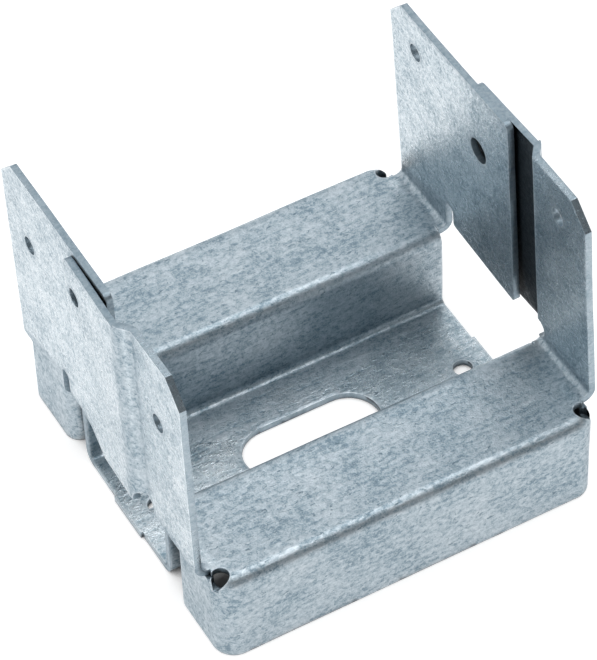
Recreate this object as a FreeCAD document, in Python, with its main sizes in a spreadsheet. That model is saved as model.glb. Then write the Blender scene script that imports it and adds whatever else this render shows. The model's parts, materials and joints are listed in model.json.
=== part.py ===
import FreeCAD, Part
import math
import os
import Sketcher

# Timber post base: one blank of galvanised sheet, pierced and folded.
# The frame: +X along the two humps, +Y to the far hump, +Z up, and the origin on the
# ground in the middle of the base plate. Sizes are in millimetres and degrees.
# The far flanges stand against the post. The near flanges pass outside them in a
# lapped, joggled strip, and one nail goes through both layers.

NODE = "post_base"

# Driving dimensions
SIZES = {
    # the sheet and its folds
    "sheet": 1.5,
    "fold_radius": 1.5,
    # the humps, seen along X
    "standoff": 23,
    "outer_depth": 88.4,
    "channel_width": 35.2,
    # the ends, seen from above, set back from the flanges
    "plate_setback": 2,
    "flap_setback": 0.95,
    "corner_radius": 5,
    "curl_radius": 3.5,
    "curl_reach": 15.4,
    "curl_end": 5.3,
    "flap_clearance": 0.3,
    "relief_inset_x": 2.1,
    "relief_inset_y": 3.7,
    "relief_hole": 3.8,
    "relief_depth": 3.6,
    "tab_length": 11.6,
    "tab_reach": 0.6,
    # the flanges, seen along Y
    "post_space": 91.5,
    "flange_shift": 0.25,
    "flange_height": 54.8,
    "left_lean": -0.6,
    "right_lean": 2.7,
    "stub_height": 3,
    "overlap": 1,
    # the far flanges
    "far_edge": 38.4,
    "far_reach": 8.7,
    "far_chamfer": 5,
    "far_round": 1.6,
    "overhang_low": 1.7,
    "overhang_high": 3,
    "notch_width": 3,
    "notch_flat": 0.2,
    "notch_height": 8,
    "overhang_round": 0.8,
    # the near flanges
    "near_edge": 38,
    "near_chamfer": 5.2,
    "joggle_start": 18.2,
    "joggle_angle": 38,
    "joggle_radius": 1,
    "lap_gap": 0.75,
    "lap_turn": 1.5,
    "lap_reach": 22.4,
    "lap_drop": 1,
    "lap_bottom": 2,
    "lap_cut_length": 10.2,
    "lap_cut_rise": 6.8,
    "lap_cut_run": 5.4,
    "lap_cut_knee": 4.7,
    "lap_cut_round": 3,
    "lap_round": 2.2,
    "fold_relief": 5,
    "fold_relief_rise": 0.3,
    # the piercings
    "slot_length": 32.4,
    "slot_width": 14.6,
    "hole_shift": 1.4,
    "anchor_spacing": 75,
    "anchor_hole": 4.3,
    "nail_hole": 4.1,
    "lap_clearance_hole": 6,
    "lap_clearance": 0.05,
    "far_nail": 28.5,
    "lap_nail": 3.5,
    "near_nail": 27.4,
    "left_nail_low": 36.1,
    "left_nail_high": 44.6,
    "right_nail_low": 37.2,
    "right_nail_high": 45.1,
}

# Places worked out from the driving dimensions
PLACES = {
    "fold_outer": "sheet + fold_radius",
    "wall_face": "channel_width / 2",
    "wall_back": "wall_face + sheet",
    "outer_face": "outer_depth / 2",
    "outer_back": "outer_face - sheet",
    "top_underside": "standoff - sheet",
    "half_space": "post_space / 2",
    "plate_end": "half_space - plate_setback",
    "flap_face": "half_space - flap_setback",
    "flap_back": "flap_face - sheet",
    "corner_x": "flap_face - corner_radius",
    "corner_y": "outer_face - corner_radius",
    "end_strip": "plate_end - corner_x",
    "corner_back": "corner_radius - sheet",
    "curl_back_radius": "curl_radius - sheet",
    "curl_face": "corner_y - curl_reach",
    "curl_inside": "curl_face + sheet",
    "curl_tip": "flap_face - curl_end",
    "flap_height": "top_underside - flap_clearance",
    "relief_x": "flap_face - relief_inset_x",
    "relief_y": "outer_face - relief_inset_y",
    "relief_radius": "relief_hole / 2",
    "tab_half": "tab_length / 2",
    "tab_end": "plate_end + tab_reach",
    "tab_near": "tab_half + hole_shift / 2",
    "tab_far": "tab_half - hole_shift / 2",
    "far_fold_length": "far_edge - wall_back",
    "near_fold_length": "near_edge - wall_back",
    "flat_bottom": "stub_height - overlap",
    "far_chamfer_y": "far_edge - far_chamfer",
    "far_chamfer_z": "flange_height - far_chamfer",
    "notch_near": "wall_back - notch_width",
    "notch_round": "(notch_width - notch_flat) / 2",
    "near_chamfer_y": "near_edge - near_chamfer",
    "near_chamfer_z": "flange_height - near_chamfer",
    "joggle_rise": "sheet + lap_gap",
    "joggle_far": "joggle_start - joggle_rise / tan(joggle_angle)",
    "joggle_back_radius": "joggle_radius + sheet",
    "joggle_overlap": "joggle_start + overlap",
    "lap_top": "flange_height - lap_drop",
    "start_out_y": "joggle_start + sheet * tan(joggle_angle / 2)",
    "knee_spread": "1 + cos(joggle_angle + lap_turn)",
    "knee_out_x": "joggle_rise + sheet * (cos(joggle_angle) + cos(lap_turn)) / knee_spread",
    "knee_out_y": "joggle_far + sheet * (sin(joggle_angle) - sin(lap_turn)) / knee_spread",
    "lap_tip": "lap_reach * cos(lap_turn) - joggle_far",
    "tip_in_x": "joggle_rise - lap_reach * sin(lap_turn)",
    "tip_out_x": "tip_in_x + sheet * cos(lap_turn)",
    "tip_out_y": "lap_tip + sheet * sin(lap_turn)",
    "cut_start": "lap_tip - lap_cut_length",
    "cut_knee_y": "cut_start + lap_cut_run",
    "cut_knee_z": "lap_bottom + lap_cut_knee",
    "cut_end_y": "lap_tip + sheet",
    "cut_end_z": "lap_bottom + lap_cut_rise",
    "round_z": "lap_top - lap_round * 2",
    "over_top_z": "flange_height + overlap",
    "fold_relief_radius": "fold_relief / 2",
    "fold_relief_z": "fold_relief_radius + fold_relief_rise",
    "slot_radius": "slot_width / 2",
    "slot_centre": "slot_length / 2 - slot_radius",
    "anchor_x": "anchor_spacing / 2",
    "anchor_radius": "anchor_hole / 2",
    "nail_radius": "nail_hole / 2",
    "lap_clearance_radius": "lap_clearance_hole / 2",
    "lap_clearance_depth": "sheet + lap_clearance",
    "piercing_length": "fold_outer * 4",
}

# The flanges lean and stand a little to the right, so each side has its own places
for side, sign in (("left", "-"), ("right", "+")):
    PLACES.update({
        f"{side}_half": f"half_space {sign} flange_shift",
        f"{side}_sin": f"sin({side}_lean)",
        f"{side}_cos": f"cos({side}_lean)",
        f"{side}_stub_in_x": f"{side}_half - stub_height * {side}_sin",
        f"{side}_stub_in_z": f"standoff + stub_height * {side}_cos",
        f"{side}_stub_out_x": f"{side}_stub_in_x + sheet * {side}_cos",
        f"{side}_stub_out_z": f"{side}_stub_in_z + sheet * {side}_sin",
        f"{side}_heel_x": f"{side}_half + (sheet + sheet * {side}_sin) / {side}_cos",
    })

doc = FreeCAD.newDocument("TimberPostBase")

sheet = doc.addObject("Spreadsheet::Sheet", "Sizes")
rows = list(SIZES.items()) + [(alias, "=" + formula) for alias, formula in PLACES.items()]
for row, (alias, content) in enumerate(rows, start=1):
    sheet.set(f"A{row}", alias.replace("_", " "))
    sheet.set(f"B{row}", str(content))
    sheet.setAlias(f"B{row}", alias)
doc.recompute()

body = doc.addObject("PartDesign::Body", "PostBase")
body.Label = NODE


def measure(place):
    """The value of an alias, which may carry a minus sign, or of a plain zero."""
    if place == 0:
        return 0.0
    if place.startswith("-"):
        return -float(sheet.get(place[1:]))
    return float(sheet.get(place))


def link(place):
    """The expression that ties a size to its cell."""
    if place.startswith("-"):
        return "-Sizes." + place[1:]
    return "Sizes." + place


def opposite(place):
    """The same place on the other side of zero."""
    if place == 0:
        return 0
    return place[1:] if place.startswith("-") else "-" + place


def new_sketch(name, role, shift=(0, 0, 0), tilt_axis=None, tilt=None):
    """A sketch on one of the body's origin planes, moved and tilted within it."""
    sketch = body.newObject("Sketcher::SketchObject", name)
    plane = [item for item in body.Origin.OriginFeatures if item.Role == role][0]
    sketch.AttachmentSupport = [(plane, "")]
    sketch.MapMode = "FlatFace"
    turn = FreeCAD.Rotation()
    if tilt is not None:
        turn = FreeCAD.Rotation(FreeCAD.Vector(*tilt_axis), measure(tilt))
    base = FreeCAD.Vector(*[measure(place) for place in shift])
    sketch.AttachmentOffset = FreeCAD.Placement(base, turn)
    for axis, place in zip("xyz", shift):
        if place != 0:
            sketch.setExpression(f"AttachmentOffset.Base.{axis}", link(place))
    if tilt is not None:
        sketch.setExpression("AttachmentOffset.Rotation.Angle", link(tilt) + " * 1 deg")
    return sketch


def fix_point(sketch, geometry, vertex, place_x, place_y):
    """Holds a vertex at its place with two distances from the sketch's origin."""
    for kind, place in (("DistanceX", place_x), ("DistanceY", place_y)):
        constraint = Sketcher.Constraint(kind, -1, 1, geometry, vertex, measure(place))
        index = sketch.addConstraint(constraint)
        if place != 0:
            sketch.setExpression(f"Constraints[{index}]", link(place))


def fix_radius(sketch, geometry, place):
    """Ties the radius of a circle or an arc to its cell."""
    index = sketch.addConstraint(Sketcher.Constraint("Radius", geometry, measure(place)))
    sketch.setExpression(f"Constraints[{index}]", link(place))


def draw_outline(sketch, corners):
    """A closed outline through corners of (x, y), or (x, y, radius) where it is rounded."""
    count = len(corners)
    points = [FreeCAD.Vector(measure(c[0]), measure(c[1]), 0) for c in corners]
    entries = []
    exits = []
    arcs = []
    for i, corner in enumerate(corners):
        point = points[i]
        if len(corner) == 2:
            entries.append(point)
            exits.append(point)
            arcs.append(None)
            continue
        radius = measure(corner[2])
        back = (points[i - 1] - point).normalize()
        ahead = (points[(i + 1) % count] - point).normalize()
        half = back.getAngle(ahead) / 2
        entries.append(point + back * (radius / math.tan(half)))
        exits.append(point + ahead * (radius / math.tan(half)))
        centre = point + (back + ahead).normalize() * (radius / math.sin(half))
        turns_left = back.cross(ahead).z < 0
        first, last = (entries[i], exits[i]) if turns_left else (exits[i], entries[i])
        start = math.atan2(first.y - centre.y, first.x - centre.x)
        end = math.atan2(last.y - centre.y, last.x - centre.x)
        circle = Part.Circle(centre, FreeCAD.Vector(0, 0, 1), radius)
        arcs.append((Part.ArcOfCircle(circle, start, end), turns_left))
    lines = []
    for i in range(count):
        segment = Part.LineSegment(exits[i], entries[(i + 1) % count])
        lines.append(sketch.addGeometry(segment, False))
    for i, corner in enumerate(corners):
        before = lines[i - 1]
        after = lines[i]
        if arcs[i] is None:
            sketch.addConstraint(Sketcher.Constraint("Coincident", before, 2, after, 1))
            fix_point(sketch, after, 1, corner[0], corner[1])
            continue
        shape, turns_left = arcs[i]
        arc = sketch.addGeometry(shape, False)
        mark = sketch.addGeometry(Part.Point(points[i]), True)
        entry, leave = (1, 2) if turns_left else (2, 1)
        sketch.addConstraint(Sketcher.Constraint("Tangent", before, 2, arc, entry))
        sketch.addConstraint(Sketcher.Constraint("Tangent", arc, leave, after, 1))
        sketch.addConstraint(Sketcher.Constraint("PointOnObject", mark, 1, before))
        sketch.addConstraint(Sketcher.Constraint("PointOnObject", mark, 1, after))
        fix_radius(sketch, arc, corner[2])
        fix_point(sketch, mark, 1, corner[0], corner[1])


def draw_circle(sketch, place_x, place_y, radius):
    """A circle whose centre and radius are tied to their cells."""
    centre = FreeCAD.Vector(measure(place_x), measure(place_y), 0)
    circle = Part.Circle(centre, FreeCAD.Vector(0, 0, 1), measure(radius))
    geometry = sketch.addGeometry(circle, False)
    fix_radius(sketch, geometry, radius)
    fix_point(sketch, geometry, 3, place_x, place_y)


def draw_slot(sketch, centre_x, centre_y, radius):
    """A slot along the sketch's x axis: two half circles joined by two straight sides."""
    reach = measure(centre_x)
    height = measure(centre_y)
    size = measure(radius)
    up = FreeCAD.Vector(0, 0, 1)
    ends = []
    for centre, start in ((reach, -math.pi / 2), (-reach, math.pi / 2)):
        circle = Part.Circle(FreeCAD.Vector(centre, height, 0), up, size)
        ends.append(sketch.addGeometry(Part.ArcOfCircle(circle, start, start + math.pi), False))
    sides = []
    for begin, edge in ((reach, size), (-reach, -size)):
        first = FreeCAD.Vector(begin, height + edge, 0)
        last = FreeCAD.Vector(-begin, height + edge, 0)
        sides.append(sketch.addGeometry(Part.LineSegment(first, last), False))
    for i in range(2):
        sketch.addConstraint(Sketcher.Constraint("Tangent", ends[i], 2, sides[i], 1))
        sketch.addConstraint(Sketcher.Constraint("Tangent", sides[i], 2, ends[1 - i], 1))
    for end, place in zip(ends, (centre_x, opposite(centre_x))):
        fix_radius(sketch, end, radius)
        fix_point(sketch, end, 3, place, centre_y)


def finish_feature(feature, adds):
    """Computes the feature and makes sure that it added or removed metal."""
    base = feature.BaseFeature
    before = base.Shape.Volume if base else 0.0
    body.Tip = feature
    doc.recompute()
    change = feature.Shape.Volume - before
    if change <= 0 if adds else change >= 0:
        raise RuntimeError(f"{feature.Name} changed the volume by {change:.3f}")
    return feature


def pad(sketch, name, length, backwards=False):
    """Adds metal from the sketch along its normal, or against it."""
    feature = body.newObject("PartDesign::Pad", name)
    feature.Profile = sketch
    feature.setExpression("Length", link(length))
    feature.Reversed = backwards
    return finish_feature(feature, True)


def pocket(sketch, name, length, both_ways=True, forwards=False):
    """Cuts the sketch to both sides of its plane, or only with or against its normal."""
    feature = body.newObject("PartDesign::Pocket", name)
    feature.Profile = sketch
    feature.setExpression("Length", link(length))
    feature.Midplane = both_ways
    feature.Reversed = forwards
    return finish_feature(feature, False)


def mirror(name, role):
    """Adds the mirror image of everything made so far."""
    feature = body.newObject("PartDesign::Mirrored", name)
    plane = [item for item in body.Origin.OriginFeatures if item.Role == role][0]
    feature.MirrorPlane = (plane, [""])
    feature.TransformMode = "Whole shape"
    return finish_feature(feature, True)


# One quarter of the folded tray
# The whole section runs from the middle to where the upright corner begins
section = new_sketch("HumpSection", "YZ_Plane")
draw_outline(section, [
    (0, 0),
    ("wall_back", 0, "fold_outer"),
    ("wall_back", "top_underside", "fold_radius"),
    ("outer_back", "top_underside", "fold_radius"),
    ("outer_back", 0),
    ("outer_face", 0),
    ("outer_face", "standoff", "fold_outer"),
    ("wall_face", "standoff", "fold_outer"),
    ("wall_face", "sheet", "fold_radius"),
    (0, "sheet"),
])
pad(section, "Humps", "corner_x")

# The plate, the inner wall and the hump's top run on to the open end
end_section = new_sketch("EndSection", "YZ_Plane", shift=(0, 0, "corner_x"))
draw_outline(end_section, [
    (0, 0),
    ("wall_back", 0, "fold_outer"),
    ("wall_back", "top_underside", "fold_radius"),
    ("corner_y", "top_underside"),
    ("corner_y", "standoff"),
    ("wall_face", "standoff", "fold_outer"),
    ("wall_face", "sheet", "fold_radius"),
    (0, "sheet"),
])
pad(end_section, "HumpEnds", "end_strip")

# The upright corner is the wall's own section, turned about the corner's axis
corner = new_sketch("CornerSection", "YZ_Plane", shift=("corner_y", 0, "corner_x"))
draw_outline(corner, [
    (0, "top_underside"),
    ("corner_back", "top_underside", "fold_radius"),
    ("corner_back", 0),
    ("corner_radius", 0),
    ("corner_radius", "standoff", "fold_outer"),
    (0, "standoff"),
])
turned = body.newObject("PartDesign::Revolution", "Corner")
turned.Profile = corner
turned.ReferenceAxis = (corner, ["V_Axis"])
turned.Angle = 90
turned.Reversed = True
finish_feature(turned, True)

# The end flap wraps round the corner and curls into the hump's open end
flap = new_sketch("FlapPlan", "XY_Plane")
draw_outline(flap, [
    ("flap_face", "corner_y"),
    ("flap_back", "corner_y"),
    ("flap_back", "curl_inside", "curl_back_radius"),
    ("curl_tip", "curl_inside"),
    ("curl_tip", "curl_face"),
    ("flap_face", "curl_face", "curl_radius"),
])
pad(flap, "EndFlap", "flap_height")

# A round relief lets the corner fold in three directions
corner_relief = new_sketch("CornerRelief", "XY_Plane", shift=(0, 0, "standoff"))
draw_circle(corner_relief, "relief_x", "relief_y", "relief_radius")
pocket(corner_relief, "CornerReliefHole", "relief_depth", both_ways=False)

mirror("BothHumps", "XZ_Plane")
mirror("BothEnds", "YZ_Plane")

# The base plate ends in a short tab, a little towards the near side
for side, sign in (("Left", -1), ("Right", 1)):
    tab = new_sketch(side + "TabPlan", "XY_Plane")
    reach = "tab_end" if sign > 0 else "-tab_end"
    root = "corner_x" if sign > 0 else "-corner_x"
    draw_outline(tab, [
        (root, "-tab_near"),
        (reach, "-tab_near"),
        (reach, "tab_far"),
        (root, "tab_far"),
    ])
    pad(tab, side + "Tab", "sheet")


def mirrored_if(left, corners):
    """The corners as given for the right side, or turned over for the left."""
    if not left:
        return corners
    return [(opposite(corner[0]),) + tuple(corner[1:]) for corner in corners]


def upright(name, side):
    """A sketch in the leaning inner face of a flange: Y across, the flange's height up."""
    left = side == "left"
    return new_sketch(
        name, "YZ_Plane",
        shift=(0, "standoff", "-left_half" if left else "right_half"),
        tilt_axis=(1, 0, 0), tilt=f"{side}_lean" if left else f"-{side}_lean",
    )


def fold(name, side, start, length):
    """The fold from the hump's top into a flange, along the hump."""
    section = new_sketch(name + "Section", "XZ_Plane", shift=(0, 0, start))
    draw_outline(section, mirrored_if(side == "left", [
        ("plate_end", "top_underside"),
        (f"{side}_heel_x", "top_underside", "fold_outer"),
        (f"{side}_stub_out_x", f"{side}_stub_out_z"),
        (f"{side}_stub_in_x", f"{side}_stub_in_z"),
        (f"{side}_half", "standoff", "fold_radius"),
        ("plate_end", "standoff"),
    ]))
    pad(section, name, length)


def near_flange(side):
    """The near flange: a flat, an S-shaped joggle and the lap that passes the far flange."""
    left = side == "left"
    title = side.capitalize()
    fold(title + "NearFold", side, "wall_back", "near_fold_length")

    flat = upright(title + "NearFlatOutline", side)
    draw_outline(flat, [
        ("-near_edge", "flat_bottom"),
        ("-near_edge", "near_chamfer_z"),
        ("-near_chamfer_y", "flange_height"),
        ("-joggle_start", "flange_height"),
        ("-joggle_start", "flat_bottom"),
    ])
    pad(flat, title + "NearFlat", "sheet", backwards=left)

    lap = new_sketch(
        title + "LapPlan", "XY_Plane",
        shift=("-left_half" if left else "right_half", 0, "standoff"),
        tilt_axis=(0, 1, 0), tilt=f"{side}_lean" if left else f"-{side}_lean",
    )
    draw_outline(lap, mirrored_if(left, [
        (0, "-joggle_overlap"),
        (0, "-joggle_start", "joggle_back_radius"),
        ("joggle_rise", "-joggle_far", "joggle_radius"),
        ("tip_in_x", "lap_tip"),
        ("tip_out_x", "tip_out_y"),
        ("knee_out_x", "-knee_out_y", "joggle_back_radius"),
        ("sheet", "-start_out_y", "joggle_radius"),
        ("sheet", "-joggle_overlap"),
    ]))
    pad(lap, title + "Lap", "flange_height")

    foot = upright(title + "LapFootOutline", side)
    draw_outline(foot, [
        ("-joggle_start", 0),
        ("cut_start", 0),
        ("cut_end_y", 0),
        ("cut_end_y", "cut_end_z"),
        ("cut_knee_y", "cut_knee_z", "lap_cut_round"),
        ("cut_start", "lap_bottom"),
        ("-joggle_start", "lap_bottom"),
    ])
    pocket(foot, title + "LapFoot", "piercing_length")

    shoulder = upright(title + "LapShoulderOutline", side)
    draw_outline(shoulder, [
        ("cut_end_y", "over_top_z"),
        ("-joggle_far", "over_top_z"),
        ("-joggle_far", "lap_top"),
        ("lap_tip", "lap_top", "lap_round"),
        ("lap_tip", "round_z"),
        ("cut_end_y", "round_z"),
    ])
    pocket(shoulder, title + "LapShoulder", "piercing_length")

    relief = upright(title + "NearReliefCircle", side)
    draw_circle(relief, "-joggle_start", "fold_relief_z", "fold_relief_radius")
    pocket(relief, title + "NearRelief", "piercing_length")


def far_flange(side):
    """The far flange, which hangs over the channel beyond its own hump."""
    left = side == "left"
    title = side.capitalize()
    fold(title + "FarFold", side, "-far_edge", "far_fold_length")

    flat = upright(title + "FarFlatOutline", side)
    draw_outline(flat, [
        ("far_edge", "flat_bottom"),
        ("far_edge", "far_chamfer_z"),
        ("far_chamfer_y", "flange_height"),
        ("-far_reach", "flange_height", "far_round"),
        ("-far_reach", "overhang_low", "overhang_round"),
        ("notch_near", "overhang_high", "overhang_round"),
        ("notch_near", "notch_height", "notch_round"),
        ("wall_back", "notch_height", "notch_round"),
        ("wall_back", "flat_bottom"),
    ])
    pad(flat, title + "FarFlat", "sheet", backwards=left)


def nail_holes(side, heights):
    """Staggered nail holes, with a wider hole in the inner layer at the lap."""
    left = side == "left"
    title = side.capitalize()
    spots = list(zip(("far_nail", "lap_nail", "-near_nail"), heights))
    holes = upright(title + "NailCircles", side)
    for place_y, place_z in spots:
        draw_circle(holes, place_y, place_z, "nail_radius")
    pocket(holes, title + "NailHoles", "piercing_length")

    wide = upright(title + "LapClearanceCircle", side)
    draw_circle(wide, spots[1][0], spots[1][1], "lap_clearance_radius")
    pocket(wide, title + "LapClearance", "lap_clearance_depth",
           both_ways=False, forwards=not left)


STAGGER = {
    "left": ("left_nail_low", "left_nail_high", "left_nail_low"),
    "right": ("right_nail_high", "right_nail_low", "right_nail_high"),
}
for side, heights in STAGGER.items():
    near_flange(side)
    far_flange(side)
    nail_holes(side, heights)

# The anchor slot and the two small holes in the base plate
slot = new_sketch("SlotOutline", "XY_Plane")
draw_slot(slot, "slot_centre", "-hole_shift", "slot_radius")
pocket(slot, "AnchorSlot", "piercing_length")

anchors = new_sketch("AnchorCircles", "XY_Plane")
for place_x in ("-anchor_x", "anchor_x"):
    draw_circle(anchors, place_x, "-hole_shift", "anchor_radius")
pocket(anchors, "AnchorHoles", "piercing_length")

doc.recompute()
for item in doc.Objects:
    if "Invalid" in item.State or "Error" in item.State:
        raise RuntimeError(f"{item.Name} could not be computed: {item.State}")
if body.Shape.isNull() or not body.Shape.isValid() or len(body.Shape.Solids) != 1:
    raise RuntimeError("the sheet is not one valid solid")

os.makedirs("parts", exist_ok=True)
body.Shape.exportStep(f"parts/{NODE}.step")
print(NODE, "volume", round(body.Shape.Volume, 1), "box", body.Shape.BoundBox)
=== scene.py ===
import json
import math

import bmesh
import bpy
import numpy as np
from mathutils import Matrix, Vector, noise
from mathutils.bvhtree import BVHTree


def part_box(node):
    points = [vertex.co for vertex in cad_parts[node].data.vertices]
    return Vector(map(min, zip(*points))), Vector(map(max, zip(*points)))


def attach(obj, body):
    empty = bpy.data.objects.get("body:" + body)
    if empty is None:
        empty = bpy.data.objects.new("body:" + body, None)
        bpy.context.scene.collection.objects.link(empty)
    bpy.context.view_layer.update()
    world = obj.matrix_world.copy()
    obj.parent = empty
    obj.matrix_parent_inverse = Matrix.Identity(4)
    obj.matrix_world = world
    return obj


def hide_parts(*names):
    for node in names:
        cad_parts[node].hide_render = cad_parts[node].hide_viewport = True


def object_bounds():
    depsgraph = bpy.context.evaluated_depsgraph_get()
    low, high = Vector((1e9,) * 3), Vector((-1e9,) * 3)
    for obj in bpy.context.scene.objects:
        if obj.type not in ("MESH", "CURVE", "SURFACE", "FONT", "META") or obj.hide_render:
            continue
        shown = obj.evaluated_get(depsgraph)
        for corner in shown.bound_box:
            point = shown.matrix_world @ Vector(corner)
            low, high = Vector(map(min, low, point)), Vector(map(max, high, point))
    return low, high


# Timber post base in galvanised sheet. The folded sheet from the frame is cut into small
# cells, its sheared edges are eased, and it gets the slight unevenness and the zinc
# finish of the real thing, with painted shade in its nooks, folds and lap and painted
# highlights beside its cut edges. Lengths are in metres.

MM = 0.001
NODE = "post_base"

# How the skin is cut, eased and smoothed
SHEET = 1.5 * MM
CELL = 1.1 * MM
CELL_START = 0.31
SAME_PLACE = 1e-6
FLAT = math.radians(0.5)
SHARP = math.radians(40)
EASE = 0.20 * MM
SMOOTH = math.radians(35)

# What is measured on the skin, and how far
LEAST_BEND = math.radians(2)
REACH = 4.0 * MM
INSIDE = 0.02 * MM
LIFT = 0.05 * MM
WALL_LIMIT = 1.3 * SHEET
CLOSE = 60.0 * MM
SKY_RINGS = ((0.12, 10), (0.45, 8), (0.78, 5), (1.0, 1))
FLANGE_FACING = 0.9
LOW_ANGLE = math.radians(12)
LAP_SHADE = 10.0 * MM
LAP_FALL = 6

# How the sheet has moved from flat. Without a seed the waves would follow the clock.
WAVE_SEED = 7
WAVE = 0.18 * MM
SLOW_WAVE = 24 * MM
QUICK_WAVE = 9 * MM
QUICK_SHARE = 0.2
QUICK_SHIFT = Vector((4.0, 1.0, 7.0))
DISH = 0.28 * MM

# Colours of the metal, and of the shade and highlights painted on it
ZINC_DARK = (0.24, 0.33, 0.39, 1)
ZINC_MID = (0.53, 0.61, 0.66, 1)
ZINC_LIGHT = (0.72, 0.78, 0.82, 1)
SHEARED = (0.30, 0.37, 0.42, 1)
# Painted shade along the folds and beside them, where the creases look dark
FOLD_SHADE = (0.13, 0.19, 0.24, 1)
# A painted highlight on the face beside each cut edge
PAINTED_RIM_HIGHLIGHT = (0.82, 0.87, 0.90, 1)
MARK = (0.15, 0.22, 0.27, 1)
# Painted shade in nooks, under the humps and in the lap between the layers
PAINTED_SHADE = (0.010, 0.015, 0.020, 1)

# Patterns in the zinc. A scale is in features per millimetre along X, Y and Z.
GRAIN = {"scale": (2.8, 2.8, 2.8), "detail": 3.0, "roughness": 0.6}
MOTTLE = {"scale": (0.75, 0.95, 0.95), "detail": 5.0, "roughness": 0.62, "distortion": 0.4}
CLOUD = {"scale": (0.11, 0.13, 0.13), "detail": 3.0, "roughness": 0.5}
STREAK = {"scale": (0.10, 1.5, 1.5), "detail": 4.0, "roughness": 0.6}
SPECKS = {"scale": (0.60, 1.4, 1.4), "detail": 2.0, "roughness": 0.5, "distortion": 0.8}
DIMPLES = {"scale": (0.30, 0.36, 0.36), "detail": 2.0, "roughness": 0.5}

# The zinc's tone: shares of mottle, grain, cloud and streak, and where its colours lie
TONE_SHARES = (0.34, 0.28, 0.20, 0.18)
DARK_TONE = 0.41
MIDDLE_TONE = 0.50
LIGHT_TONE = 0.59

# The bumps: shares of mottle, grain, streak, mark and dimples, and how high they are
BUMP_SHARES = (0.8, 0.55, 0.3, -0.3, 0.6)
BUMP_HEIGHT = 0.12 * MM
BUMP_STRENGTH = 0.9

# Ramps: from, to, and the values at those two. Distances are in millimetres.
MARK_RAMP = (0.665, 0.700, 0.0, 1.0)
CUT_RAMP = (0.0, 0.06, 1.0, 0.0)
# Where the painted highlight beside a cut edge starts and ends
PAINTED_GLINT_START = (0.05, 0.12, 0.0, 1.0)
PAINTED_GLINT_END = (0.15, 0.45, 1.0, 0.0)
# Where the painted fold shade and the rougher bends lie
BENT_RAMP = (0.0, 1.5, 1.0, 0.0)
BESIDE_RAMP = (0.6, 4.0, 0.10, 0.0)
PATCHY_RAMP = (0.40, 0.56, 1.3, 0.4)
# How deep the painted shade in nooks and under the humps is
NOOK_RAMP = (0.12, 0.58, 0.88, 0.0)
SHUT_RAMP = (0.02, 0.32, 0.92, 0.0)
ROUGH_RAMP = (0.3, 0.7, 0.36, 0.22)
# Where the floor's glow is dimmed into a painted shadow
HOLLOW_RAMP = (0.22, 0.42, 0.0, 1.0)

# How strongly each part of the finish, and each painted highlight and shade, shows
MARK_SHARE = 0.75
# How strongly the painted highlight beside the cut edges shows
PAINTED_GLINT_SHARE = 0.6
CUT_SHARE = 0.70
# How strongly the painted shade at the folds shows
FOLD_SHADE_SHARE = 0.25
# How strongly the painted shade in the lap shows
LAP_SHADE_SHARE = 0.98
BENT_ROUGHNESS = 0.16

# How far each kind of occlusion looks
AO_SAMPLES = 8
NOOK = 7 * MM
HOLLOW = 30 * MM

# The stage
FLOOR_HALF = 3.0
FLOOR_HEIGHT = -0.0002
FLOOR_TONE = 0.50
FLOOR_GLOW = 0.75
WORLD_LEVEL = 0.40
CEILING_HEIGHT = 2.5
CEILING_HALF = 12.0
CEILING_NEAR = 0.22
CEILING_FAR = 0.97
CEILING_TURN = (0.50, 2.45)
CEILING_COLOUR = (0.95, 0.98, 1, 1)
WHITE = (1, 1, 1, 1)

# The camera, found by fitting the object's edges
CAMERA_PLACE = Vector((-0.24071, -0.46043, 0.60379))
CAMERA_YAW = math.radians(-27.46)
CAMERA_PITCH = math.radians(-47.66)
CAMERA_ROLL = math.radians(-2.65)
SENSOR = 36.0
PHOTO_WIDTH = 597
FOCAL_PIXELS = 3710.3

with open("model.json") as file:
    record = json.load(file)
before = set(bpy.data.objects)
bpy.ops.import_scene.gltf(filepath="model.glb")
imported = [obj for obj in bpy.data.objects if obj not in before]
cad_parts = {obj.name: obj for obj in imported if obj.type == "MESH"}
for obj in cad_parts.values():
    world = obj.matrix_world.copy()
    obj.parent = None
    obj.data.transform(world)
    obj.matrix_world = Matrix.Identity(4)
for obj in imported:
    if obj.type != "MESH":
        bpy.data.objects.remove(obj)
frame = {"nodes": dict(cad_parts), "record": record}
cad_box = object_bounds()


def sharp_edges(mesh):
    """The edges between two faces that turn sharply."""
    return [e for e in mesh.edges if len(e.link_faces) == 2 and e.calc_face_angle(0) > SHARP]


def cut_cells(mesh, low, high):
    """Cuts the mesh by planes across X, Y and Z, one cell apart."""
    for axis in range(3):
        normal = Vector((0, 0, 0))
        normal[axis] = 1.0
        count = int((high[axis] - low[axis]) / CELL)
        step = (high[axis] - low[axis]) / count
        for i in range(1, count):
            place = Vector((0, 0, 0))
            place[axis] = low[axis] + (i + CELL_START) * step
            parts = mesh.verts[:] + mesh.edges[:] + mesh.faces[:]
            bmesh.ops.bisect_plane(
                mesh, geom=parts, dist=SAME_PLACE, plane_co=place, plane_no=normal,
            )


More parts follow.
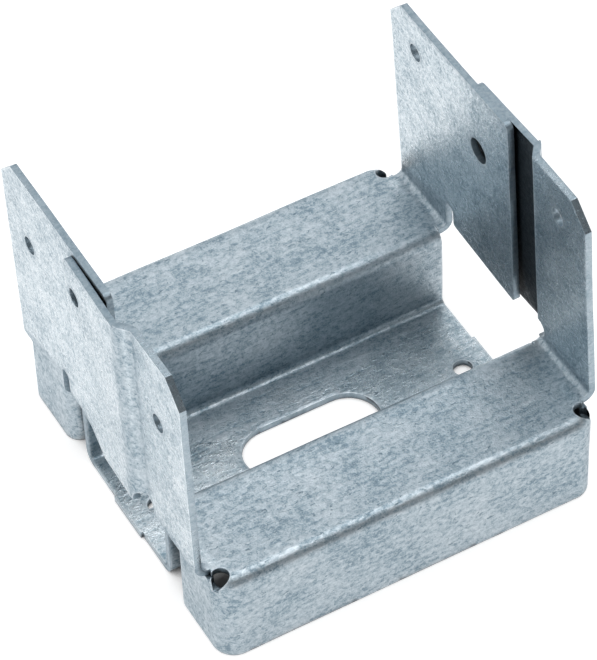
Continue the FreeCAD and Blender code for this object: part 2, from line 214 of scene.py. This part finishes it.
def make_skin():
    """A copy of the folded sheet with eased edges and small cells."""
    mesh = bmesh.new()
    mesh.from_mesh(frame["nodes"][NODE].data)
    bmesh.ops.remove_doubles(mesh, verts=mesh.verts, dist=SAME_PLACE)
    bmesh.ops.dissolve_limit(mesh, angle_limit=FLAT, verts=mesh.verts, edges=mesh.edges)
    bmesh.ops.bevel(
        mesh, geom=sharp_edges(mesh), offset=EASE, offset_type="OFFSET", segments=2,
        profile=0.5, affect="EDGES", clamp_overlap=True,
    )
    cut_cells(mesh, *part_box(NODE))
    bmesh.ops.triangulate(mesh, faces=[f for f in mesh.faces if len(f.verts) > 4])
    data = bpy.data.meshes.new("post_base_skin")
    mesh.to_mesh(data)
    mesh.free()
    skin = bpy.data.objects.new("post_base_skin", data)
    bpy.context.scene.collection.objects.link(skin)
    return skin


def mesh_tree(data):
    """The mesh in a form that rays can be cast at."""
    corners = [v.co for v in data.vertices]
    return BVHTree.FromPolygons(corners, [tuple(p.vertices) for p in data.polygons])


def distances(data, tree):
    """The distance from every vertex to what the tree holds, no further than the reach."""
    distance = np.full(len(data.vertices), REACH)
    for vertex in data.vertices:
        hit = tree.find_nearest(vertex.co, REACH)
        if hit[0] is not None:
            distance[vertex.index] = hit[3]
    return distance


def rim_distances(data, tree):
    """The distance from every vertex to the faces that the shears cut.

    Behind such a face the metal goes on for more than the thickness of the sheet.
    """
    cut = []
    for polygon in data.polygons:
        start = polygon.center - polygon.normal * INSIDE
        hit = tree.ray_cast(start, -polygon.normal, 2 * SHEET)
        if hit[0] is None or hit[3] > WALL_LIMIT:
            cut.append(tuple(polygon.vertices))
    return distances(data, BVHTree.FromPolygons([v.co for v in data.vertices], cut))


def bend_distances(data, source):
    """The distance from every vertex to the nearest face with a bend along an edge.

    The flat faces beside a fold count too, so most of the sheet is at no distance.
    """
    mesh = bmesh.new()
    mesh.from_mesh(source)
    bmesh.ops.remove_doubles(mesh, verts=mesh.verts, dist=SAME_PLACE)
    bent = []
    for face in mesh.faces:
        turns = [e.calc_face_angle(0) for e in face.edges if len(e.link_faces) == 2]
        if any(LEAST_BEND < turn < SHARP for turn in turns):
            bent.append(tuple(v.index for v in face.verts))
    tree = BVHTree.FromPolygons([v.co for v in mesh.verts], bent)
    mesh.free()
    return distances(data, tree)


def sky_aims():
    """Directions spread over the upper half, in level rings."""
    aims = []
    for ring, (height, count) in enumerate(SKY_RINGS):
        flat = math.sqrt(1 - height * height)
        for i in range(count):
            turn = 2 * math.pi * (i + 0.5 * ring) / count
            aims.append(Vector((flat * math.cos(turn), flat * math.sin(turn), height)))
    return aims


def openness(data, tree):
    """How much of the space above each vertex is free of the sheet."""
    aims = sky_aims()
    free = np.zeros(len(data.vertices))
    for vertex in data.vertices:
        start = vertex.co + vertex.normal * LIFT
        seen = sum(tree.ray_cast(start, aim, CLOSE)[0] is None for aim in aims)
        free[vertex.index] = seen / len(aims)
    return free


def lap_depth(data, tree):
    """How near an inner flange face lies to the raised edge of the layer beside it."""
    depth = np.zeros(len(data.vertices))
    for vertex in data.vertices:
        normal = vertex.normal
        if abs(normal.x) < FLANGE_FACING or normal.x * vertex.co.x > 0:
            continue
        aim = Vector((math.sin(LOW_ANGLE) * normal.x, math.cos(LOW_ANGLE), 0))
        hit = tree.ray_cast(vertex.co + normal * LIFT, aim, LAP_SHADE)
        if hit[0] is not None:
            depth[vertex.index] = 1 - (hit[3] / LAP_SHADE) ** LAP_FALL
    return depth


def store(data, name, values):
    """Keeps one number per vertex on the mesh, for the material to read."""
    layer = data.attributes.new(name, "FLOAT", "POINT")
    layer.data.foreach_set("value", np.asarray(values, np.float32))


def measure(data):
    """Stores what the zinc and its painted shade and highlights depend on. The distances are
    stored in millimetres.
    """
    tree = mesh_tree(data)
    store(data, "free", openness(data, tree))
    store(data, "lap", lap_depth(data, tree))
    store(data, "rim", rim_distances(data, tree) / MM)
    store(data, "bend", bend_distances(data, frame["nodes"][NODE].data) / MM)


def unevenness(point):
    """How far the sheet has moved at a point: slow waves and some quicker ones."""
    slow = noise.noise_vector(point / SLOW_WAVE)
    quick = noise.noise_vector(point / QUICK_WAVE + QUICK_SHIFT)
    return (slow * (1 - QUICK_SHARE) + quick * QUICK_SHARE) * WAVE


def hump_tops():
    """The middle, half size and underside of each hump's top, from the hollow below it."""
    tops = []
    for opening in frame["record"]["physics"]["openings"]:
        if opening["name"].endswith("hump_hollow"):
            low, high = (Vector(corner) for corner in opening["box_m"])
            tops.append(((low + high) / 2, (high - low) / 2, high.z))
    return tops


def sinking(point, tops):
    """How far a hump's top has sunk between its folds."""
    for middle, half, underside in tops:
        along = (point.x - middle.x) / half.x
        across = (point.y - middle.y) / half.y
        on_top = 0 < point.z - underside < 2 * SHEET
        if on_top and abs(along) < 1 and abs(across) < 1:
            return Vector((0, 0, -DISH * (1 - across ** 2) * (1 - along ** 4)))
    return Vector((0, 0, 0))


def press_sheet(data, low, high):
    """Moves both faces of the sheet together, by the waves and the dish, in the CAD box."""
    places = np.empty(len(data.vertices) * 3, np.float32)
    data.vertices.foreach_get("co", places)
    places = places.reshape(-1, 3)
    tops = hump_tops()
    noise.seed_set(WAVE_SEED)
    points = [Vector(place) for place in places]
    moves = [unevenness(point) + sinking(point, tops) for point in points]
    places += np.array(moves, np.float32)
    places = np.clip(places, np.array(low, np.float32), np.array(high, np.float32))
    data.vertices.foreach_set("co", places.ravel())
    data.update()


class Nodes:
    """Short calls for making and joining a material's nodes."""

    def __init__(self, tree):
        self.tree = tree
        tree.nodes.clear()

    def add(self, kind, **settings):
        node = self.tree.nodes.new(kind)
        for name, value in settings.items():
            setattr(node, name, value)
        return node

    def join(self, source, target):
        self.tree.links.new(source, target)

    def fill(self, socket, value):
        if isinstance(value, bpy.types.NodeSocket):
            self.join(value, socket)
        else:
            socket.default_value = value

    def maths(self, operation, first, second):
        node = self.add("ShaderNodeMath", operation=operation)
        self.fill(node.inputs[0], first)
        self.fill(node.inputs[1], second)
        return node.outputs[0]

    def times(self, first, second):
        return self.maths("MULTIPLY", first, second)

    def total(self, parts, shares):
        """The sum of the parts, each times its share."""
        result, *others = [self.times(part, share) for part, share in zip(parts, shares)]
        for other in others:
            result = self.maths("ADD", result, other)
        return result

    def ramp(self, value, low, high, start, end, smooth=True):
        """The value from low to high, spread from start to end."""
        node = self.add("ShaderNodeMapRange", clamp=True)
        node.interpolation_type = "SMOOTHSTEP" if smooth else "LINEAR"
        for index, item in enumerate((value, low, high, start, end)):
            self.fill(node.inputs[index], item)
        return node.outputs[0]

    def blend(self, share, first, second):
        """A share of the second colour over the first. Sockets 6, 7 and 2 are the colours."""
        node = self.add("ShaderNodeMix", data_type="RGBA")
        self.fill(node.inputs[0], share)
        self.fill(node.inputs[6], first)
        self.fill(node.inputs[7], second)
        return node.outputs[2]

    def place(self, scale):
        """The object's own coordinates in millimetres, times a scale for each axis."""
        source = self.add("ShaderNodeTexCoord").outputs["Object"]
        mapping = self.add("ShaderNodeMapping")
        mapping.inputs["Scale"].default_value = [s / MM for s in scale]
        self.join(source, mapping.inputs["Vector"])
        return mapping.outputs[0]

    def noise(self, scale, detail, roughness, distortion=0.0):
        node = self.add("ShaderNodeTexNoise")
        self.join(self.place(scale), node.inputs["Vector"])
        node.inputs["Scale"].default_value = 1.0
        node.inputs["Detail"].default_value = detail
        node.inputs["Roughness"].default_value = roughness
        node.inputs["Distortion"].default_value = distortion
        return node.outputs["Fac"]

    def attribute(self, name):
        return self.add("ShaderNodeAttribute", attribute_name=name).outputs["Fac"]

    def occlusion(self, distance):
        """How open the surface is, counting only what lies within the distance."""
        node = self.add("ShaderNodeAmbientOcclusion", samples=AO_SAMPLES)
        node.inputs["Distance"].default_value = distance
        return node.outputs["AO"]

    def background_rays(self):
        """1 for the rays that show the background: camera, glossy and transmission rays."""
        rays = self.add("ShaderNodeLightPath").outputs
        seen = self.maths("MAXIMUM", rays["Is Camera Ray"], rays["Is Glossy Ray"])
        return self.maths("MAXIMUM", seen, rays["Is Transmission Ray"])

    def output(self, surface, kind="ShaderNodeOutputMaterial"):
        """Makes the surface the result of the whole tree."""
        self.join(surface, self.add(kind).inputs[0])


def zinc_colour(net, grain, mottle, streak):
    """The zinc's own colour, from dark through middle to light."""
    cloud = net.noise(**CLOUD)
    tone = net.total((mottle, grain, cloud, streak), TONE_SHARES)
    colour = net.add("ShaderNodeValToRGB")
    dark, light = colour.color_ramp.elements
    dark.position = DARK_TONE
    dark.color = ZINC_DARK
    light.position = LIGHT_TONE
    light.color = ZINC_LIGHT
    colour.color_ramp.elements.new(MIDDLE_TONE).color = ZINC_MID
    net.join(tone, colour.inputs[0])
    return colour.outputs[0]


def add_cut_edges(net, base):
    """Grey sheared edges, with a painted highlight on the face beside them."""
    distance = net.attribute("rim")
    cut = net.ramp(distance, *CUT_RAMP)
    # Painted highlight: a light band a little way in from each cut edge
    painted_glint = net.times(net.ramp(distance, *PAINTED_GLINT_START), net.ramp(distance, *PAINTED_GLINT_END))
    base = net.blend(net.times(painted_glint, PAINTED_GLINT_SHARE), base, PAINTED_RIM_HIGHLIGHT)
    return net.blend(net.times(cut, CUT_SHARE), base, SHEARED)


def add_fold_shade(net, base, distance, bent, mottle):
    """Painted shade at the bends and, in patches, on the flat faces that they join."""
    # Painted shade along the folds, then in patches on the flat faces beside them
    base = net.blend(net.times(bent, FOLD_SHADE_SHARE), base, FOLD_SHADE)
    beside = net.ramp(distance, *BESIDE_RAMP)
    patchy = net.ramp(mottle, *PATCHY_RAMP)
    return net.blend(net.times(beside, patchy), base, FOLD_SHADE)


def add_painted_shade(net, base):
    """Painted shade in nooks, under the humps and in the lap."""
    # Painted shade: darker where the surface is closed in, and darkest in the lap
    nook = net.ramp(net.occlusion(NOOK), *NOOK_RAMP)
    shut = net.ramp(net.attribute("free"), *SHUT_RAMP)
    lapped = net.times(net.attribute("lap"), LAP_SHADE_SHARE)
    dark = net.maths("MAXIMUM", net.maths("MAXIMUM", nook, shut), lapped)
    return net.blend(dark, base, PAINTED_SHADE)


def zinc_material():
    """Galvanised steel: grain, soft mottle, rolled streaks, small marks and cut edges, with
    painted shade in nooks, folds and the lap and painted highlights beside the cut edges.
    """
    material = bpy.data.materials.new("galvanised_steel")
    material.use_nodes = True
    net = Nodes(material.node_tree)

    grain = net.noise(**GRAIN)
    mottle = net.noise(**MOTTLE)
    streak = net.noise(**STREAK)
    dimples = net.noise(**DIMPLES)
    mark = net.ramp(net.noise(**SPECKS), *MARK_RAMP)
    bend_distance = net.attribute("bend")
    bent = net.ramp(bend_distance, *BENT_RAMP)

    base = zinc_colour(net, grain, mottle, streak)
    base = net.blend(net.times(mark, MARK_SHARE), base, MARK)
    # Cut edges, with a painted highlight beside them
    base = add_cut_edges(net, base)
    # Painted shade at the folds
    base = add_fold_shade(net, base, bend_distance, bent, mottle)
    # Painted shade in nooks, under the humps and in the lap
    base = add_painted_shade(net, base)

    rough = net.ramp(mottle, *ROUGH_RAMP)
    rough = net.maths("ADD", rough, net.times(bent, BENT_ROUGHNESS))
    height = net.total((mottle, grain, streak, mark, dimples), BUMP_SHARES)
    bump = net.add("ShaderNodeBump")
    bump.inputs["Strength"].default_value = BUMP_STRENGTH
    bump.inputs["Distance"].default_value = BUMP_HEIGHT
    net.join(height, bump.inputs["Height"])

    shader = net.add("ShaderNodeBsdfPrincipled")
    shader.inputs["Metallic"].default_value = 1.0
    net.join(base, shader.inputs["Base Color"])
    net.join(rough, shader.inputs["Roughness"])
    net.join(bump.outputs[0], shader.inputs["Normal"])
    net.output(shader.outputs[0])
    return material


def make_plane(name, half, height):
    """A level square for the stage, which isn't part of the object."""
    data = bpy.data.meshes.new(name)
    corners = [(-half, -half, 0), (half, -half, 0), (half, half, 0), (-half, half, 0)]
    data.from_pydata(corners, [], [(0, 1, 2, 3)])
    plane = bpy.data.objects.new(name, data)
    plane.location.z = height
    bpy.context.scene.collection.objects.link(plane)
    material = bpy.data.materials.new(name + "_surface")
    material.use_nodes = True
    data.materials.append(material)
    return Nodes(material.node_tree)


def make_floor():
    """A pale floor that keeps the object's shadow, with its glow dimmed into a painted shadow
    under the closed humps and beside the object.
    """
    net = make_plane("floor", FLOOR_HALF, FLOOR_HEIGHT)
    shader = net.add("ShaderNodeBsdfPrincipled")
    shader.inputs["Base Color"].default_value = (FLOOR_TONE, FLOOR_TONE, FLOOR_TONE, 1)
    shader.inputs["Roughness"].default_value = 0.9
    shader.inputs["Specular IOR Level"].default_value = 0.0
    # Painted shadow: the glow is dimmed where the object closes in over the floor
    open_sky = net.ramp(net.occlusion(HOLLOW), *HOLLOW_RAMP)
    glow = net.times(net.times(net.background_rays(), open_sky), FLOOR_GLOW)
    white = net.add("ShaderNodeEmission")
    white.inputs["Color"].default_value = WHITE
    net.join(glow, white.inputs["Strength"])
    both = net.add("ShaderNodeAddShader")
    net.join(shader.outputs[0], both.inputs[0])
    net.join(white.outputs[0], both.inputs[1])
    net.output(both.outputs[0])


def make_ceiling():
    """The studio's plain ceiling: grey above the object and paler towards the back."""
    net = make_plane("ceiling", CEILING_HALF, CEILING_HEIGHT)
    place = net.add("ShaderNodeSeparateXYZ")
    net.join(net.add("ShaderNodeTexCoord").outputs["Object"], place.inputs[0])
    level = net.ramp(place.outputs[1], *CEILING_TURN, CEILING_NEAR, CEILING_FAR)
    surface = net.add("ShaderNodeEmission")
    surface.inputs["Color"].default_value = CEILING_COLOUR
    net.join(level, surface.inputs["Strength"])
    net.output(surface.outputs[0])


def make_world():
    """A pale surround: white to the camera and in reflections, plain grey as light."""
    world = bpy.data.worlds.new("surround")
    bpy.context.scene.world = world
    world.use_nodes = True
    net = Nodes(world.node_tree)
    level = net.ramp(net.background_rays(), 0.0, 1.0, WORLD_LEVEL, 1.0, smooth=False)
    background = net.add("ShaderNodeBackground")
    background.inputs["Color"].default_value = WHITE
    net.join(level, background.inputs["Strength"])
    net.output(background.outputs[0], "ShaderNodeOutputWorld")


def area_light(name, place, aim, size, power):
    """A soft square lamp that looks at a point."""
    data = bpy.data.lights.new(name, "AREA")
    data.shape = "RECTANGLE"
    data.size = size
    data.size_y = size
    data.energy = power
    lamp = bpy.data.objects.new(name, data)
    lamp.location = place
    lamp.rotation_euler = (Vector(aim) - Vector(place)).to_track_quat("-Z", "Y").to_euler()
    bpy.context.scene.collection.objects.link(lamp)


def make_camera():
    """The camera at the fitted place, turned by its yaw, pitch and roll."""
    ahead = Vector((
        -math.sin(CAMERA_YAW) * math.cos(CAMERA_PITCH),
        math.cos(CAMERA_YAW) * math.cos(CAMERA_PITCH),
        math.sin(CAMERA_PITCH),
    ))
    right = Vector((math.cos(CAMERA_YAW), math.sin(CAMERA_YAW), 0))
    up = right.cross(ahead)
    turned_right = right * math.cos(CAMERA_ROLL) + up * math.sin(CAMERA_ROLL)
    turned_up = up * math.cos(CAMERA_ROLL) - right * math.sin(CAMERA_ROLL)
    data = bpy.data.cameras.new("camera")
    data.sensor_fit = "HORIZONTAL"
    data.sensor_width = SENSOR
    data.lens = FOCAL_PIXELS / PHOTO_WIDTH * SENSOR
    data.clip_start = 0.01
    camera = bpy.data.objects.new("camera", data)
    turn = Matrix((turned_right, turned_up, -ahead)).transposed()
    camera.matrix_world = Matrix.Translation(CAMERA_PLACE) @ turn.to_4x4()
    bpy.context.scene.collection.objects.link(camera)
    bpy.context.scene.camera = camera


skin = make_skin()
measure(skin.data)
press_sheet(skin.data, *cad_box)
skin.data.shade_smooth()
skin.data.set_sharp_from_angle(angle=SMOOTH)
skin.data.materials.append(zinc_material())
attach(skin, "root")
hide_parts(NODE)

make_floor()
make_ceiling()
make_world()
area_light("left_lamp", place=(-0.9, -0.2, 0.55), aim=(0, 0, 0.03), size=0.6, power=3.0)
area_light("top_lamp", place=(0.3, 0.1, 2.2), aim=(0, 0, 0), size=1.5, power=21.0)
make_camera()
bpy.context.scene.view_settings.view_transform = "Standard"
